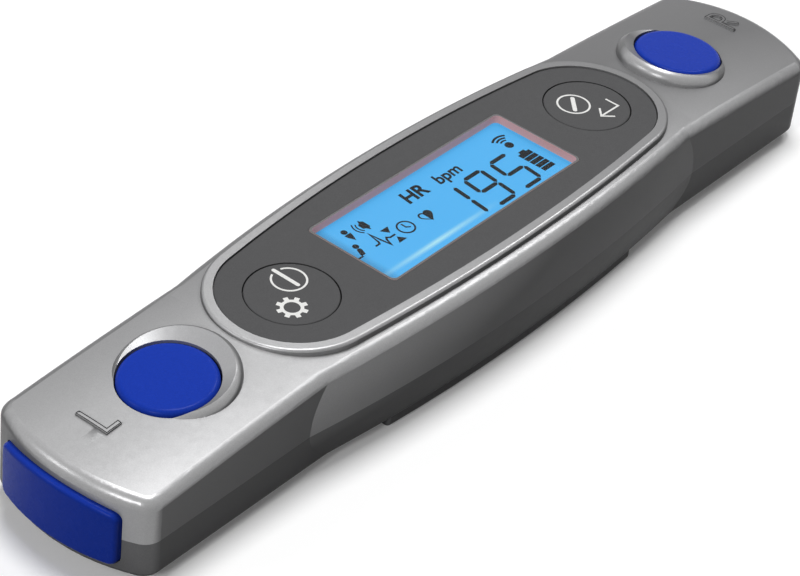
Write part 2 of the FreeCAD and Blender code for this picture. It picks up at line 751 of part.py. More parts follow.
def coil(name, side):
    """Spring behind the flat end of one cell."""
    length = "(2 * (bayHalfLength - contactPlate) - nubLength - cellLength)"
    wire = document.addObject("Part::Circle", name + "_wire")
    bind(wire, Radius="springWire / 2")
    wire.Placement = FreeCAD.Placement(FreeCAD.Vector(), FreeCAD.Rotation(FreeCAD.Vector(1, 0, 0), 90))
    wire.setExpression("Placement.Base.x", formula("springRadius"))
    path = document.addObject("Part::Helix", name + "_path")
    bind(path, Radius="springRadius", Height=length + " - springWire",
         Pitch="(%s - springWire) / springTurns" % length)
    path.SegmentLength = springSegment
    document.recompute()
    thing = document.addObject("Part::Sweep", name)
    thing.Sections = [wire]
    thing.Spine = (path, ["Edge%d" % (number + 1) for number in range(len(path.Shape.Edges))])
    thing.Solid = True
    thing.Frenet = True
    return place(thing, "%d * (bayHalfLength - contactPlate - springWire / 2)" % side,
                 "%d * cellSpacing / 2" % side, cellLevel, (0, -side, 0), 90)


node("front_cell", cell("near_cell", -1))
node("rear_cell", cell("far_cell", 1))
node("battery_springs", group("springs", coil("near_spring", -1), coil("far_spring", 1)))
plateLow = cellLevel + " - cellRadius + contactInset"
plateHigh = cellLevel + " + cellRadius - contactInset"
plateX = "(bayHalfLength - contactPlate / 2)"
bridge = block("contact_bridge", "contactPlate", "cellSpacing + contactWidth", plateLow, plateHigh,
               "-" + plateX)
terminals = [block("contact_%d" % side, "contactPlate", "contactWidth", plateLow, plateHigh, plateX,
                   "%d * cellSpacing / 2" % side)
             for side in (-1, 1)]
node("battery_contacts", group("contacts", bridge, *terminals))

# Faceplate and display

plate = cut("plate_blank",
            common("plate_slab",
                   prism("plate_wall", ovalOutline("plate_outline", "0"), "rootLevel", "skyLevel"),
                   arched("plate_arch", plateTop, "plateRadius")),
            arched("plate_under_arch", plateUnder, "plateRadius"))
plateHoles = [post(name + "_plate_hole", "buttonRadius + buttonGap", "rootLevel", "skyLevel",
                   "%d * buttonPlace" % side)
              for name, side in (("power", -1), ("enter", 1))]
window = oblong("plate_window", "windowHalfLength + bezelWall + layerGap",
                "windowHalfWidth + bezelWall + layerGap", "rootLevel", "skyLevel", "windowRound")
node("faceplate", cut("plate", plate, window, *plateHoles))

bezel = cut("bezel_ring",
            oblong("bezel_outside", "windowHalfLength + bezelWall", "windowHalfWidth + bezelWall",
                   "lensTop", "skyLevel", "windowRound"),
            oblong("bezel_inside", "windowHalfLength", "windowHalfWidth", "lensTop - overcut",
                   "skyLevel", "windowRound"))
node("display_bezel", common("bezel", bezel, arched("bezel_arch", plateTop, "plateRadius")))

glassTop = "(lensTop - lensThickness - layerGap)"
glassUnder = "(%s - glassThickness)" % glassTop
node("display_lens", oblong("lens", "glassHalfLength", "glassHalfWidth", "lensTop - lensThickness",
                            "lensTop"))
node("lcd_glass", oblong("glass", "glassHalfLength", "glassHalfWidth", glassUnder, glassTop))
node("lcd_backlight", oblong("backlight", "glassHalfLength - holderGap", "backlightHalfWidth",
                             "boardTop + layerGap", "boardTop + layerGap + backlightThickness"))
node("lcd_connectors", group("rubber_strips", *[
    block("rubber_strip_%d" % side, "2 * (glassHalfLength - holderWall)", "connectorWidth",
          "boardTop", glassUnder, y="%d * (backlightHalfWidth + holderGap + connectorWidth / 2)" % side)
    for side in (-1, 1)]))
node("lcd_holder", cut("holder",
                       oblong("holder_outside", "glassHalfLength + holderGap + holderWall",
                              "glassHalfWidth + holderGap + holderWall", "boardTop", "lensTop - seatGap"),
                       oblong("holder_inside", "glassHalfLength + holderGap", "glassHalfWidth + holderGap",
                              "boardTop - overcut", "skyLevel")))

# Buttons, each on a push switch

for name, side in (("power", -1), ("enter", 1)):
    x = "%d * buttonPlace" % side
    cap = common(name + "_cap_sharp", post(name + "_cap_post", "buttonRadius", "flangeTop", "skyLevel", x),
                 arched(name + "_cap_arch", plateTop, "plateRadius"))
    capFoot = sizes["flangeTop"]
    cap = rounded(name + "_cap", cap, "buttonRound",
                  lambda edge: edge.BoundBox.ZMin > capFoot + hair and not upright(edge))
    flange = post(name + "_flange", "buttonRadius + flangeReach", "flangeTop - flangeThickness",
                  "flangeTop", x)
    stem = post(name + "_stem", "stemRadius", "plungerTop", "flangeTop", x)
    node(name + "_button", fuse(name + "_key", cap, flange, stem))
    body = block(name + "_switch_block", "switchWidth", "switchWidth", "boardTop",
                 "boardTop + switchHeight", x)
    well = post(name + "_switch_well", "plungerRadius + plungerGap", "boardTop + switchFloor",
                "skyLevel", x)
    node(name + "_switch", cut(name + "_switch_body", body, well))
    node(name + "_switch_plunger", post(name + "_plunger", "plungerRadius", "plungerTop - plungerLength",
                                        "plungerTop", x))

# Thumb electrodes, each over a spring pin on its electrode board

pinPlace = "(thumbPlace - (thumbLevel - contactLevel) * tan(thumbTilt))"
for hand, side in hands:
    pinX = "%d * %s" % (side, pinPlace)
    capLow = "-(lipDepth + seatGap)"
    disc = tilted(hand + "_disc_blank", side, "thumbRadius", capLow, "thumbProud")
    document.recompute()
    disc = rounded(hand + "_disc", disc, "thumbRound", topCircle(disc))
    flange = tilted(hand + "_thumb_flange", side, "thumbRadius + thumbFlange",
                    capLow + " - thumbFlangeThickness", capLow)
    boss = post(hand + "_thumb_boss", "contactRadius", "contactLevel", "thumbLevel - lipDepth", pinX)
    node(hand + "_thumb_electrode", fuse(hand + "_thumb", disc, flange, boss))
    node(hand + "_pin_plunger", post(hand + "_pin", "pinRadius", "contactLevel - pinLength",
                                     "contactLevel", pinX))
    node(hand + "_pin_barrel", cut(hand + "_barrel",
                                   post(hand + "_barrel_outside", "barrelRadius", "sensorTop",
                                        "sensorTop + barrelHeight", pinX),
                                   post(hand + "_barrel_bore", "barrelBore", "sensorTop - overcut",
                                        "skyLevel", pinX)))

# End electrodes and the leaves that join them to the electrode boards

pad = endPad("end_pad", "0")
padFace = sizes["endRadius"] + sizes["endPadProud"]
padCentre = sizes["caseHalfLength"] - sizes["endRadius"]


def onFace(edge):
    """True for an edge that lies on the outer face of the right-hand pad."""
    return all(abs(math.hypot(point.x - padCentre, point.y) - padFace) < 1e-3
               for point in edge.discretize(5))


pad = rounded("end_pad_round", pad, "endPadRound", onFace)
padBack = "(caseHalfLength - endPadSunk)"
stud = rod("end_stud", "studRadius", "studLength + endPadSunk", padBack + " - studLength", 0, "studLevel",
           (0, 1, 0))
rightPad = fuse("right_pad", pad, stud)
node("right_end_electrode", rightPad)
node("left_end_electrode", mirror("left_pad", rightPad, (1, 0, 0)))

leafEnd = "(%s - studLength)" % padBack
leafStart = "(thumbPlace + sensorHalfLength - leafLap)"
for hand, side in hands:
    uprightX = "%d * (%s - leafThickness / 2)" % (side, leafEnd)
    flatX = "%d * (%s + %s) / 2" % (side, leafStart, leafEnd)
    node(hand + "_end_contact", fuse(
        hand + "_leaf",
        block(hand + "_leaf_upright", "leafThickness", "leafWidth", "sensorTop",
              "studLevel + studRadius", uprightX),
        block(hand + "_leaf_flat", "%s - %s" % (leafEnd, leafStart), "leafWidth", "sensorTop",
              "sensorTop + leafThickness", flatX)))

# Circuit boards, what stands on them and what joins them

node("main_board", cut("board",
                       oblong("board_blank", "boardHalfLength", "boardHalfWidth", "boardTop - boardThickness",
                              "boardTop", "cornerRadius"),
                       *corners("board_hole", "smallShaft + screwGap", "0", "skyLevel",
                                "boardScrewPlace", "boardScrewSpread")))
memoryX = "bayEnd + 2 * chipGap + processorWidth + memoryLength / 2"
crystalX = "bayEnd + 2 * chipGap + 2 * buzzerRadius + crystalLength / 2"
chips = [block("chip_" + use, length, width, "boardUnder - " + height, "boardUnder", x, y)
         for use, length, width, height, x, y in (
             ("processor", "processorWidth", "processorWidth", "processorHeight",
              "-(bayEnd + chipGap + processorWidth / 2)", "chipRow"),
             ("memory", "memoryLength", "memoryWidth", "memoryHeight", "-(%s)" % memoryX, "chipRow"),
             ("crystal", "crystalLength", "crystalWidth", "crystalHeight", "-(%s)" % crystalX, "-crystalRow"),
             ("amplifier", "amplifierLength", "amplifierWidth", "amplifierHeight",
              "bayEnd + chipGap + radioLength / 2", "chipRow"))]
node("board_chips", group("chips", *chips))
node("wireless_module", block("radio", "radioLength", "radioWidth", "boardUnder - radioHeight", "boardUnder",
                              "bayEnd + chipGap + radioLength / 2", "-radioRow"))
node("buzzer", post("sounder", "buzzerRadius", "boardUnder - buzzerHeight", "boardUnder",
                    "-(bayEnd + chipGap + buzzerRadius)", "-buzzerRow"))

for hand, side in hands:
    middle = "%d * thumbPlace" % side
    blank = block(hand + "_sensor_blank", "2 * sensorHalfLength", "2 * sensorHalfWidth",
                  "sensorTop - sensorThickness", "sensorTop", middle)
    holes = [post("%s_sensor_hole_%d%d" % (hand, along, across), "smallShaft + screwGap", "0", "skyLevel",
                  "%s + %d * postReach" % (middle, along), "%d * postReach" % across)
             for along in (-1, 1) for across in (-1, 1)]
    node(hand + "_electrode_board", cut(hand + "_sensor", blank, *holes))
    # the ribbon rises past both the end of the main board and the near end of the small one
    rise = "max(thumbPlace - sensorHalfLength; boardHalfLength + ribbonGap)"
    root = "(boardHalfLength - ribbonLap)"
    node(hand + "_ribbon", fuse(
        hand + "_ribbon_strip",
        block(hand + "_ribbon_foot", "ribbonLap", "ribbonWidth", "sensorTop",
              "sensorTop + ribbonThickness", "%d * (%s + ribbonLap / 2)" % (side, rise), "ribbonSide"),
        block(hand + "_ribbon_rise", "ribbonThickness", "ribbonWidth", "sensorTop", "boardUnder",
              "%d * (%s + ribbonThickness / 2)" % (side, rise), "ribbonSide"),
        block(hand + "_ribbon_head", "%s + ribbonThickness - %s" % (rise, root), "ribbonWidth",
              "boardUnder - ribbonThickness", "boardUnder",
              "%d * (%s + ribbonThickness + %s) / 2" % (side, rise, root), "ribbonSide")))

# Screws


def screw(name, head, headHeight, shaft, length, seat, rising, x, y):
    """Screw with its head's shoulder at the seat, pointing up or down."""
    low, high = (seat + " - " + headHeight, seat) if rising else (seat, seat + " + " + headHeight)
    tip = (seat, seat + " + " + length) if rising else (seat + " - " + length, seat)
    return fuse(name, post(name + "_head", head, low, high, x, y), post(name + "_shaft", shaft, *tip, x, y))


node("case_screws", group("long_screws", *[
    screw("case_screw_%d%d" % (along, across), "screwHead", "screwHeadHeight", "screwShaft", "screwLength",
          "floorLevel + screwSink + screwHeadHeight", True,
          "%d * caseScrewPlace" % along, "%d * caseScrewSpread" % across)
    for along in (-1, 1) for across in (-1, 1)]))
boardScrews = [screw("board_screw_%d%d" % (along, across), "smallHead", "smallHeadHeight", "smallShaft",
                     "smallScrewLength", "boardUnder", True,
                     "%d * boardScrewPlace" % along, "%d * boardScrewSpread" % across)
               for along in (-1, 1) for across in (-1, 1)]
boardScrews += [screw("sensor_screw_%s_%d%d" % (hand, along, across), "smallHead", "smallHeadHeight",
                      "smallShaft", "smallScrewLength", "sensorTop", False,
                      "%d * thumbPlace + %d * postReach" % (side, along), "%d * postReach" % across)
                for hand, side in hands for along in (-1, 1) for across in (-1, 1)]
node("board_screws", group("short_screws", *boardScrews))

document.recompute()
for thing in document.Objects:
    if {"Invalid", "Error"} & set(thing.State):
        raise RuntimeError("%s failed: %s" % (thing.Name, thing.State))
os.makedirs("parts", exist_ok=True)
for thing in nodes:
    if thing.Shape.isNull() or not thing.Shape.isValid():
        raise RuntimeError("%s has no valid shape" % thing.Label)
    thing.Shape.exportStep("parts/%s.step" % thing.Label)
    print("%-24s %2d solid(s) %10.2f mm3" % (thing.Label, len(thing.Shape.Solids), thing.Shape.Volume))
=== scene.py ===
import math

import bmesh
import bpy
from mathutils import Matrix, Vector


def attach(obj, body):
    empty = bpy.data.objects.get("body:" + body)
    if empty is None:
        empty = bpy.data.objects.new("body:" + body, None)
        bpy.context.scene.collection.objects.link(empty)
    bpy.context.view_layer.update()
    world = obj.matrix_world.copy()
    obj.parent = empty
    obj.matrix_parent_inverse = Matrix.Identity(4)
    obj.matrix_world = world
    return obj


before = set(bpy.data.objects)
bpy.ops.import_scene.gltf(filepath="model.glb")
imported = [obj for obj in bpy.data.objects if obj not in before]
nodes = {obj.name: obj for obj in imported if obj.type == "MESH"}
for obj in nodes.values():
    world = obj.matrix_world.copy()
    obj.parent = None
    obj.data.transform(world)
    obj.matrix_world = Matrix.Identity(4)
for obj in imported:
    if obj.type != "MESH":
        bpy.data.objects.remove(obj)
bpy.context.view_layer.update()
mm = 0.001

print("frame loaded:", len(nodes), "nodes")


# Helpers for finishes. A value may be another node's output, a number or a colour

def newFinish(name):
    finish = bpy.data.materials.new(name)
    finish.use_nodes = True
    return finish, finish.node_tree, finish.node_tree.nodes["Principled BSDF"]


def addNode(tree, kind, **values):
    made = tree.nodes.new(kind)
    for key, value in values.items():
        setattr(made, key, value)
    return made


def plug(tree, socket, value):
    if hasattr(value, "links"):
        tree.links.new(value, socket)
    elif socket.type == "RGBA":
        socket.default_value = (*value, 1)
    else:
        socket.default_value = value


def objectPoint(tree):
    return addNode(tree, "ShaderNodeTexCoord").outputs["Object"]


def stretched(tree, point, scale):
    mapping = addNode(tree, "ShaderNodeMapping")
    plug(tree, mapping.inputs["Vector"], point)
    plug(tree, mapping.inputs["Scale"], scale)
    return mapping.outputs["Vector"]


def axes(tree, vector):
    split = addNode(tree, "ShaderNodeSeparateXYZ")
    plug(tree, split.inputs["Vector"], vector)
    return split.outputs["X"], split.outputs["Y"], split.outputs["Z"]


def noise(tree, point, perMetre, detail=2):
    made = addNode(tree, "ShaderNodeTexNoise")
    plug(tree, made.inputs["Vector"], point)
    plug(tree, made.inputs["Scale"], perMetre)
    plug(tree, made.inputs["Detail"], detail)
    return made.outputs["Fac"]


def cells(tree, point, perMetre, feature="F1", output="Distance"):
    made = addNode(tree, "ShaderNodeTexVoronoi", feature=feature)
    plug(tree, made.inputs["Vector"], point)
    plug(tree, made.inputs["Scale"], perMetre)
    return made.outputs[output]


def spread(tree, value, low, high, fromLow=0.3, fromHigh=0.7):
    # stretches fromLow..fromHigh, which is where most of a noise lies, to low..high
    made = addNode(tree, "ShaderNodeMapRange", clamp=True)
    plug(tree, made.inputs["Value"], value)
    plug(tree, made.inputs["From Min"], fromLow)
    plug(tree, made.inputs["From Max"], fromHigh)
    plug(tree, made.inputs["To Min"], low)
    plug(tree, made.inputs["To Max"], high)
    return made.outputs["Result"]


def blendColour(tree, amount, first, second, blend="MIX"):
    made = addNode(tree, "ShaderNodeMix", data_type="RGBA", blend_type=blend)
    plug(tree, made.inputs["Factor"], amount)
    plug(tree, made.inputs["A"], first)
    plug(tree, made.inputs["B"], second)
    return made.outputs["Result"]


def combine(tree, operation, first, second=None):
    made = addNode(tree, "ShaderNodeMath", operation=operation)
    plug(tree, made.inputs[0], first)
    if second is not None:
        plug(tree, made.inputs[1], second)
    return made.outputs["Value"]


def raiseBump(tree, shader, *heights):
    # heights are pairs of a value and its depth in metres, stacked one on the other
    normal = None
    for value, depth in heights:
        made = addNode(tree, "ShaderNodeBump")
        plug(tree, made.inputs["Height"], value)
        plug(tree, made.inputs["Strength"], 1)
        plug(tree, made.inputs["Distance"], depth)
        if normal:
            plug(tree, made.inputs["Normal"], normal)
        normal = made.outputs["Normal"]
    plug(tree, shader.inputs["Normal"], normal)


def written(red, green, blue):
    # screen colour 0..255 to the linear colour that a shader takes
    parts = (part / 255 for part in (red, green, blue))
    return tuple(part / 12.92 if part <= 0.04 else ((part + 0.055) / 1.055) ** 2.4 for part in parts)


# Silver paint of the case

upperPaint = {
    "light": written(166, 166, 167),
    "dark": written(154, 154, 155),
    "grazingShade": written(112, 112, 113),  # painted shade: darker where it is seen at a low angle, which darkens the sides
    "metallic": 0.4,
    "specular": 0.5,
    "grazingSpecular": 0.08,
    "flopFrom": 0.33,
    "flopTo": 0.54,
    "smooth": 0.3,
    "rough": 0.36,
    "mattPerMetre": 900,
    "cloudPerMetre": 45,
    "cloudShare": 0.35,
    "flakesPerMetre": 9000,
    "flakeRelief": 0.00000008,
    "peelPerMetre": 380,
    "peelRelief": 0.000003,
}
lowerPaint = dict(
    upperPaint,
    light=written(104, 104, 105),
    dark=written(95, 95, 96),
    # painted shade on the sides of the lower shell as well
    grazingShade=written(80, 80, 81),
    metallic=0.2,
    specular=0.3,
)


def sprayedSilver(name, look):
    finish, tree, shader = newFinish(name)
    point = objectPoint(tree)
    flake = addNode(tree, "ShaderNodeSeparateColor")
    plug(tree, flake.inputs["Color"], cells(tree, point, look["flakesPerMetre"], output="Color"))
    tone = blendColour(tree, spread(tree, flake.outputs["Red"], 0, 1, 0, 1), look["dark"], look["light"])
    cloud = spread(tree, noise(tree, point, look["cloudPerMetre"], detail=3), 0, look["cloudShare"])
    patch = blendColour(tree, cloud, tone, look["light"])
    matt = spread(tree, noise(tree, point, look["mattPerMetre"], detail=3), look["smooth"], look["rough"])
    # metal flakes lie flat in the paint, so it dulls where it is seen at a low angle; the colour is also
    # darkened there, a painted shade that darkens the sides
    tilt = addNode(tree, "ShaderNodeLayerWeight").outputs["Facing"]
    reach = look["flopFrom"], look["flopTo"]
    base = blendColour(tree, spread(tree, tilt, 0, 1, *reach), patch, look["grazingShade"])
    gloss = spread(tree, tilt, look["specular"], look["grazingSpecular"], *reach)
    plug(tree, shader.inputs["Base Color"], base)
    plug(tree, shader.inputs["Metallic"], spread(tree, tilt, look["metallic"], 0, *reach))
    plug(tree, shader.inputs["Specular IOR Level"], gloss)
    plug(tree, shader.inputs["Roughness"], matt)
    peel = noise(tree, point, look["peelPerMetre"])
    raiseBump(tree, shader, (peel, look["peelRelief"]), (flake.outputs["Green"], look["flakeRelief"]))
    return finish


# Moulded plastics: the plate and its keys, the blue electrodes, and what stands inside

plateLook = {
    "light": written(84, 84, 85),
    "dark": written(77, 77, 78),
    "specular": 0.06,
    "smooth": 0.5,
    "rough": 0.62,
    "mattPerMetre": 700,
    "wavePerMetre": 60,
    "waveShare": 0.3,
    "waveRelief": 0.000004,
    "grainPerMetre": 5200,
    "grainRelief": 0.000012,
}
plasticLooks = {
    "plateGrey": plateLook,
    "electrodeBlue": dict(
        plateLook,
        light=written(26, 58, 170),
        dark=written(23, 52, 156),
        specular=0.04,
        smooth=0.22,
        rough=0.3,
        grainPerMetre=4200,
        grainRelief=0.0000015,
    ),
    "blackPlastic": dict(plateLook, light=written(40, 40, 42), dark=written(30, 30, 32)),
    "switchCream": dict(plateLook, light=written(222, 217, 204), dark=written(208, 202, 188)),
    "contactStrip": dict(plateLook, light=written(112, 112, 116), dark=written(96, 96, 99)),
    "chipPackage": dict(plateLook, light=written(38, 38, 41), dark=written(27, 27, 29)),
    "lightGuide": dict(
        plateLook, light=written(235, 242, 248), dark=written(222, 232, 240), smooth=0.2, rough=0.3),
    "ribbonFilm": dict(
        plateLook, light=written(202, 138, 46), dark=written(182, 118, 32), smooth=0.3, rough=0.4),
}


def grainedPlastic(name, look):
    finish, tree, shader = newFinish(name)
    point = objectPoint(tree)
    grain = noise(tree, point, look["grainPerMetre"])
    wave = noise(tree, point, look["wavePerMetre"], detail=3)
    tone = blendColour(tree, spread(tree, grain, 0, 1), look["dark"], look["light"])
    base = blendColour(tree, spread(tree, wave, 0, look["waveShare"]), tone, look["light"])
    matt = spread(tree, noise(tree, point, look["mattPerMetre"], detail=3), look["smooth"], look["rough"])
    plug(tree, shader.inputs["Base Color"], base)
    plug(tree, shader.inputs["Specular IOR Level"], look["specular"])
    plug(tree, shader.inputs["Roughness"], matt)
    raiseBump(tree, shader, (wave, look["waveRelief"]), (grain, look["grainRelief"]))
    return finish


bezelLook = dict(
    plateLook,
    light=written(214, 160, 152),
    dark=written(200, 148, 140),
    smooth=0.35,
    rough=0.45,
    glow=0.24,  # painted light: the walls glow though they are no lamp, which brightens them
    wallBelow=0.5,  # how far up a face may look and still be a wall
    rimAbove=0.8,
)


def bezelRing(name, look, rim):
    # pink on the upright walls, plate grey on the narrow top that lies level with the plate
    finish, tree, shader = newFinish(name)
    grain = noise(tree, objectPoint(tree), look["grainPerMetre"])
    upward = axes(tree, addNode(tree, "ShaderNodeNewGeometry").outputs["True Normal"])[2]
    wall = spread(tree, upward, 1, 0, look["wallBelow"], look["rimAbove"])
    pink = blendColour(tree, spread(tree, grain, 0, 1), look["dark"], look["light"])
    plug(tree, shader.inputs["Base Color"], blendColour(tree, wall, rim["light"], pink))
    # painted light: the upright walls glow pink
    plug(tree, shader.inputs["Emission Color"], blendColour(tree, wall, (0, 0, 0), pink))
    plug(tree, shader.inputs["Emission Strength"], look["glow"])
    plug(tree, shader.inputs["Roughness"], spread(tree, grain, look["smooth"], look["rough"]))
    raiseBump(tree, shader, (grain, look["grainRelief"]))
    return finish


# Bare metals

steelLook = {
    "light": written(206, 207, 210),
    "dark": written(176, 177, 181),
    "streaksPerMetre": (4000, 900, 900),
    "smooth": 0.22,
    "rough": 0.38,
    "relief": 0.000004,
}
metalLooks = {
    "springSteel": steelLook,
    "giltPin": dict(steelLook, light=written(232, 196, 110), dark=written(206, 166, 80)),
    "shieldCan": dict(
        steelLook,
        light=written(200, 202, 204),
        dark=written(178, 180, 183),
        streaksPerMetre=(600, 600, 600),
    ),
}


def brushedMetal(name, look):
    finish, tree, shader = newFinish(name)
    streak = noise(tree, stretched(tree, objectPoint(tree), look["streaksPerMetre"]), 1, detail=3)
    tone = blendColour(tree, spread(tree, streak, 0, 1), look["dark"], look["light"])
    plug(tree, shader.inputs["Base Color"], tone)
    plug(tree, shader.inputs["Metallic"], 1)
    plug(tree, shader.inputs["Roughness"], spread(tree, streak, look["smooth"], look["rough"]))
    raiseBump(tree, shader, (streak, look["relief"]))
    return finish


# Circuit board and cells

boardLook = {
    "mask": written(18, 92, 52),
    "track": written(26, 118, 70),
    "tracksPerMetre": 420,
    "pointScale": (1, 1, 0.01),  # the tracks run straight through the board
    "trackFrom": 0.05,
    "trackTo": 0.12,
    "trackRelief": 0.00003,
    "roughness": 0.35,
}


def layeredBoard(name, look):
    finish, tree, shader = newFinish(name)
    point = stretched(tree, objectPoint(tree), look["pointScale"])
    run = cells(tree, point, look["tracksPerMetre"], feature="DISTANCE_TO_EDGE")
    track = spread(tree, run, 1, 0, look["trackFrom"], look["trackTo"])
    plug(tree, shader.inputs["Base Color"], blendColour(tree, track, look["mask"], look["track"]))
    plug(tree, shader.inputs["Roughness"], look["roughness"])
    raiseBump(tree, shader, (track, look["trackRelief"]))
    return finish


cellLook = {
    "jacket": written(34, 36, 42),
    "band": written(196, 152, 66),
    "bandFrom": 0.0135,  # metres along the case
    "bandTo": 0.0136,
    "metal": written(196, 198, 202),
    "metalShare": 0.12,
    "metallic": 0.3,
    "smooth": 0.25,
    "rough": 0.4,
    "mottlePerMetre": 1500,
    "mottleRelief": 0.000004,
}


def cellJacket(name, look):
    finish, tree, shader = newFinish(name)
    point = objectPoint(tree)
    along = spread(tree, axes(tree, point)[0], 0, 1, look["bandFrom"], look["bandTo"])
    mottle = noise(tree, point, look["mottlePerMetre"])
    wrap = blendColour(tree, along, look["jacket"], look["band"])
    base = blendColour(tree, spread(tree, mottle, 0, look["metalShare"]), wrap, look["metal"])
    plug(tree, shader.inputs["Base Color"], base)
    plug(tree, shader.inputs["Metallic"], look["metallic"])
    plug(tree, shader.inputs["Roughness"], spread(tree, mottle, look["smooth"], look["rough"]))
    raiseBump(tree, shader, (mottle, look["mottleRelief"]))
    return finish


# Display cell with its light on, and the window over it. Places are in metres

displayLight = {
    "lit": written(86, 187, 253),
    "shaded": written(40, 96, 146),
    "fallFrom": -0.0252,
    "fallTo": -0.0212,
    # painted highlight: colour of the glare strip along the near edge
    "glareHighlight": written(186, 242, 255),
    "stripAt": -0.0058,
    "stripHalfWidth": 0.0008,
    "stripMiddle": -0.0095,
    "stripHalfLength": 0.017,
    "glow": 0.8,
    "paint": (0.2, 0.2, 0.2),  # share of the colour that the cell shows by outside light
    "roughness": 0.4,
    "specular": 0.03,
    "pixelsPerMetre": 9000,
    "pixelShare": 0.06,
    "pixelRelief": 0.000001,
}


def litCell(name, look):
    # painted shade: the light falls softly towards the left edge; painted highlight: a bright strip of glare
    # along the near edge
    finish, tree, shader = newFinish(name)
    point = objectPoint(tree)
    x, y, _ = axes(tree, point)
    pixel = noise(tree, point, look["pixelsPerMetre"], detail=1)
    fall = spread(tree, x, 1, 0, look["fallFrom"], look["fallTo"])
    across = combine(tree, "ABSOLUTE", combine(tree, "SUBTRACT", y, look["stripAt"]))
    along = combine(tree, "ABSOLUTE", combine(tree, "SUBTRACT", x, look["stripMiddle"]))
    glareHighlight = combine(tree, "MULTIPLY", spread(tree, across, 1, 0, 0, look["stripHalfWidth"]),
                    spread(tree, along, 1, 0, 0, look["stripHalfLength"]))
    bright = blendColour(tree, glareHighlight, blendColour(tree, fall, look["lit"], look["shaded"]), look["glareHighlight"])
    light = blendColour(tree, spread(tree, pixel, 0, look["pixelShare"]), bright, look["glareHighlight"])
    plug(tree, shader.inputs["Emission Color"], light)
    plug(tree, shader.inputs["Emission Strength"], look["glow"])
    plug(tree, shader.inputs["Base Color"], blendColour(tree, 1, light, look["paint"], "MULTIPLY"))
    plug(tree, shader.inputs["Roughness"], look["roughness"])
    plug(tree, shader.inputs["Specular IOR Level"], look["specular"])
    raiseBump(tree, shader, (pixel, look["pixelRelief"]))
    return finish


windowLook = {
    "tint": (0.05, 0.08, 0.1),
    "alpha": 0.06,
    "smooth": 0.12,
    "rough": 0.16,
    "mattPerMetre": 500,
    "wavePerMetre": 90,
    "waveRelief": 0.000002,
}


def clearWindow(name, look):
    finish, tree, shader = newFinish(name)
    point = objectPoint(tree)
    matt = spread(tree, noise(tree, point, look["mattPerMetre"]), look["smooth"], look["rough"])
    plug(tree, shader.inputs["Base Color"], look["tint"])
    plug(tree, shader.inputs["Alpha"], look["alpha"])
    plug(tree, shader.inputs["Roughness"], matt)
    raiseBump(tree, shader, (noise(tree, point, look["wavePerMetre"]), look["waveRelief"]))
    return finish


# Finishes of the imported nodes

plastic = {name: grainedPlastic(name, look) for name, look in plasticLooks.items()}
metal = {name: brushedMetal(name, look) for name, look in metalLooks.items()}
upperSilver = sprayedSilver("upperSilver", upperPaint)
lowerSilver = sprayedSilver("lowerSilver", lowerPaint)
board = layeredBoard("layeredBoard", boardLook)
jacket = cellJacket("cellJacket", cellLook)
finishes = {
    "top_shell": upperSilver,
    "bottom_shell": lowerSilver,
    "battery_door": lowerSilver,
    "faceplate": plastic["plateGrey"],
    "power_button": plastic["plateGrey"],
    "enter_button": plastic["plateGrey"],
    "display_bezel": bezelRing("bezelPink", bezelLook, plateLook),
    "display_lens": clearWindow("clearWindow", windowLook),
    "lcd_glass": litCell("litCell", displayLight),
    "lcd_backlight": plastic["lightGuide"],
    "lcd_holder": plastic["blackPlastic"],
    "lcd_connectors": plastic["contactStrip"],
    "power_switch": plastic["switchCream"],
    "enter_switch": plastic["switchCream"],
    "power_switch_plunger": plastic["blackPlastic"],
    "enter_switch_plunger": plastic["blackPlastic"],
    "buzzer": plastic["blackPlastic"],
    "board_chips": plastic["chipPackage"],
    "wireless_module": metal["shieldCan"],
    "battery_springs": metal["springSteel"],
    "battery_contacts": metal["springSteel"],
    "case_screws": metal["springSteel"],
    "board_screws": metal["springSteel"],
    "front_cell": jacket,
    "rear_cell": jacket,
    "main_board": board,
}
for hand in ("left", "right"):
    finishes[hand + "_thumb_electrode"] = plastic["electrodeBlue"]
    finishes[hand + "_end_electrode"] = plastic["electrodeBlue"]
    finishes[hand + "_end_contact"] = metal["springSteel"]
    finishes[hand + "_pin_barrel"] = metal["giltPin"]
    finishes[hand + "_pin_plunger"] = metal["giltPin"]
    finishes[hand + "_electrode_board"] = board
    finishes[hand + "_ribbon"] = plastic["ribbonFilm"]
for name, finish in finishes.items():
    cadNode = nodes[name]
    cadNode.data.materials.clear()
    cadNode.data.materials.append(finish)
print("finishes on", len(finishes), "of", len(nodes), "nodes")


# Flat outlines in mm for prints and display segments

mitreLimit = 0.35  # keeps the corner of a stroke from running out into a long point


def arcPoints(centre, radius, start, stop, count):
    turns = [math.radians(start + (stop - start) * i / (count - 1)) for i in range(count)]
    return [(centre[0] + radius * math.cos(turn), centre[1] + radius * math.sin(turn)) for turn in turns]


def circle(centre, radius, count=64):
    return arcPoints(centre, radius, 0, 360 * (1 - 1 / count), count)


def ringBand(centre, radius, width, start, stop, count=72):
    outer = arcPoints(centre, radius + width / 2, start, stop, count)
    inner = arcPoints(centre, radius - width / 2, stop, start, count)
    return outer + inner


def band(points, width):
    # outline of one stroke that follows the points, with mitred corners and square ends
    half = width / 2
    line = [Vector(point) for point in points]
    left, right = [], []
    for i, here in enumerate(line):
        before = (here - line[i - 1]).normalized() if i else (line[1] - here).normalized()
        after = (line[i + 1] - here).normalized() if i < len(line) - 1 else before
        side = Vector((-before.y - after.y, before.x + after.x)).normalized()
        reach = half / max(mitreLimit, side.dot(Vector((-before.y, before.x))))
        left.append(here + side * reach)
        right.append(here - side * reach)
    return [tuple(point) for point in left + right[::-1]]


